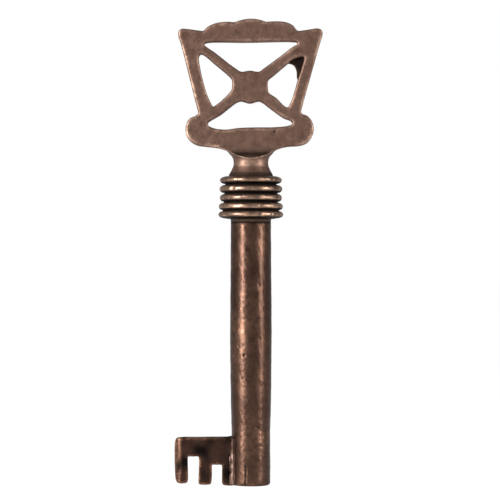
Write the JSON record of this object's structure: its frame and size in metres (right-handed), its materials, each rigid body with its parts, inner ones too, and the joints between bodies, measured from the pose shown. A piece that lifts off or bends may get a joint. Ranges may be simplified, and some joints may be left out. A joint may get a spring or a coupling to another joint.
{
  "type": "barrel key",
  "caption": "Old bronze barrel key with an openwork bow, a ringed collar, a bored barrel and a warded bit.",
  "frame": {"origin": "on the key's axis at the barrel's end face", "axes": "+Z along the key towards the bow, the bow in the XZ plane with its front towards -Y, the bit towards -X"},
  "size_m": [0.0243, 0.0106, 0.0762],
  "materials": {
    "bow": "patinated cast bronze",
    "collar": "patinated turned bronze, dark in the grooves",
    "barrel": "patinated bronze tube, rubbed by handling",
    "bit": "dark patinated bronze, filed",
    "braze": "tarnished braze metal"
  },
  "bodies": {
    "root": {"bow": "bow", "collar": "collar", "barrel": "barrel", "bit": "bit", "bit_braze_front": "braze", "bit_braze_back": "braze"}
  },
  "joints": []
}
